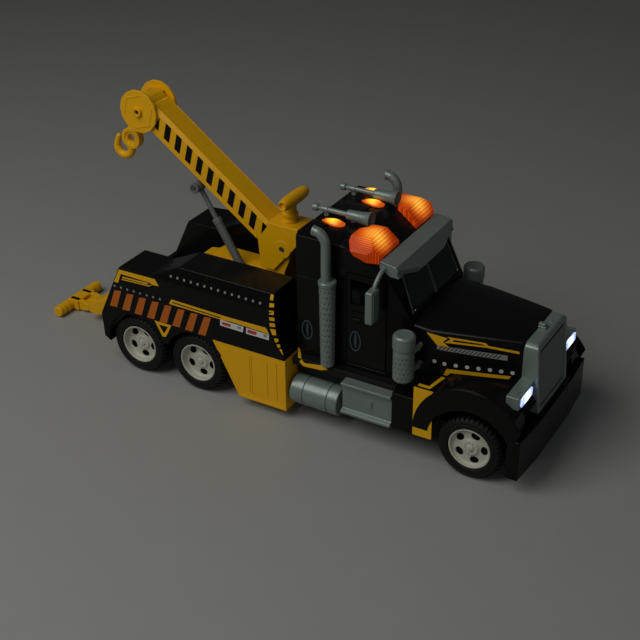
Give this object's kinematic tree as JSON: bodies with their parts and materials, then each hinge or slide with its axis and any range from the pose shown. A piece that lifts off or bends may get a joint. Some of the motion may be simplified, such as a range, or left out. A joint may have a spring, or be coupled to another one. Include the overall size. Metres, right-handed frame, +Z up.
{
  "type": "toy tow truck",
  "caption": "Toy tow truck with a hinged lifting boom, swinging hook, winch reel, folding wheel lift, opening cab doors and rolling wheels",
  "frame": {"origin": "on the ground under the middle of the bounding box, wheels standing on Z = 0", "axes": "+X points to the front bumper, +Y to the left side of the truck, +Z up"},
  "size_m": [0.5988, 0.1794, 0.2924],
  "materials": {
    "black_plastic": "glossy",
    "yellow_plastic": "satin",
    "silver_plastic": "satin",
    "grey_plastic": "satin",
    "cream_plastic": "satin",
    "tyre_rubber": "matte",
    "steel": "brushed",
    "amber_lens": "glossy",
    "clear_lens": "glossy",
    "dark_pane": "glossy"
  },
  "bodies": {
    "truck": {"chassis": "black_plastic", "battery_cover": "black_plastic", "sound_and_light_unit": "grey_plastic", "bumper": "black_plastic", "cab_shell": "black_plastic", "cab_interior": "grey_plastic", "windshield": "dark_pane", "sleeper_shell": "black_plastic", "hood": "black_plastic", "grille_frame": "silver_plastic", "grille_bars": "silver_plastic", "right_headlight_lens": "clear_lens", "left_headlight_lens": "clear_lens", "sun_visor": "silver_plastic", "marker_lights": "amber_lens", "right_beacon": "amber_lens", "right_horn": "silver_plastic", "right_exhaust_stack": "silver_plastic", "right_air_cleaner": "silver_plastic", "right_fuel_tank": "silver_plastic", "right_tool_box": "silver_plastic", "right_side_skirt": "yellow_plastic", "right_rear_pod": "black_plastic", "left_beacon": "amber_lens", "left_horn": "silver_plastic", "left_exhaust_stack": "silver_plastic", "left_air_cleaner": "silver_plastic", "left_fuel_tank": "silver_plastic", "left_tool_box": "silver_plastic", "left_side_skirt": "yellow_plastic", "left_rear_pod": "black_plastic", "rear_deck": "black_plastic", "turret_base": "yellow_plastic", "boom_hinge_pin": "steel"},
    "front_wheels": {"front_axle": "steel", "front_right_tyre": "tyre_rubber", "front_right_rim": "cream_plastic", "front_left_tyre": "tyre_rubber", "front_left_rim": "cream_plastic"},
    "middle_wheels": {"middle_axle": "steel", "middle_right_tyre": "tyre_rubber", "middle_right_rim": "cream_plastic", "middle_left_tyre": "tyre_rubber", "middle_left_rim": "cream_plastic"},
    "rear_wheels": {"rear_axle": "steel", "rear_right_tyre": "tyre_rubber", "rear_right_rim": "cream_plastic", "rear_left_tyre": "tyre_rubber", "rear_left_rim": "cream_plastic"},
    "boom": {"boom": "yellow_plastic", "boom_grip": "yellow_plastic", "lift_pin": "grey_plastic"},
    "winch": {"winch_reel": "yellow_plastic"},
    "hook": {"hook": "yellow_plastic"},
    "lift_barrel": {"lift_barrel": "grey_plastic"},
    "lift_rod": {"lift_rod": "grey_plastic"},
    "stinger": {"stinger_arm": "yellow_plastic"},
    "tow_bar": {"tow_bar": "yellow_plastic"},
    "right_door": {"right_door": "black_plastic"},
    "left_door": {"left_door": "black_plastic"}
  },
  "joints": [
    {"name": "front_wheels_spin", "type": "hinge", "parent": "truck", "child": "front_wheels", "pos_m": [0.2459, 0, 0.033], "axis": [0, 1, 0], "continuous": true},
    {"name": "middle_wheels_spin", "type": "hinge", "parent": "truck", "child": "middle_wheels", "pos_m": [-0.0627, 0, 0.033], "axis": [0, 1, 0], "continuous": true},
    {"name": "rear_wheels_spin", "type": "hinge", "parent": "truck", "child": "rear_wheels", "pos_m": [-0.1384, 0, 0.033], "axis": [0, 1, 0], "continuous": true},
    {"name": "boom_lift", "type": "hinge", "parent": "truck", "child": "boom", "pos_m": [0.0024, 0, 0.152], "axis": [0, 1, 0], "range_deg": [-17, 16]},
    {"name": "lift_barrel_tilt", "type": "hinge", "parent": "truck", "child": "lift_barrel", "pos_m": [-0.0351, -0.0095, 0.088], "axis": [0, 1, 0], "range_deg": [-12.44, 11.72]},
    {"name": "lift_rod_slide", "type": "slide", "parent": "lift_barrel", "child": "lift_rod", "axis": [-0.506, 0, 0.8625], "range_m": [-0.0193, 0.0182]},
    {"name": "winch_spin", "type": "hinge", "parent": "boom", "child": "winch", "pos_m": [-0.16512, 0, 0.26943], "axis": [0, 1, 0], "continuous": true},
    {"name": "hook_swing", "type": "hinge", "parent": "boom", "child": "hook", "pos_m": [-0.1796, 0, 0.26], "axis": [0, 1, 0], "range_deg": [-50, 50]},
    {"name": "stinger_fold", "type": "hinge", "parent": "truck", "child": "stinger", "pos_m": [-0.1851, 0, 0.034], "axis": [0, 1, 0], "range_deg": [0, 85]},
    {"name": "tow_bar_tilt", "type": "hinge", "parent": "stinger", "child": "tow_bar", "pos_m": [-0.2721, 0, 0.0085], "axis": [0, 1, 0], "range_deg": [0, 60]},
    {"name": "right_door_swing", "type": "hinge", "parent": "truck", "child": "right_door", "pos_m": [0.1469, -0.064, 0.126], "axis": [0, 0, 1], "range_deg": [0, 34]},
    {"name": "left_door_swing", "type": "hinge", "parent": "truck", "child": "left_door", "pos_m": [0.1469, 0.064, 0.126], "axis": [0, 0, -1], "range_deg": [0, 34]}
  ],
  "couplings": [
    {"joint": "lift_barrel_tilt", "follows": "boom_lift", "ratio": 0.72},
    {"joint": "lift_rod_slide", "follows": "boom_lift", "m_per_rad": 0.0645}
  ]
}
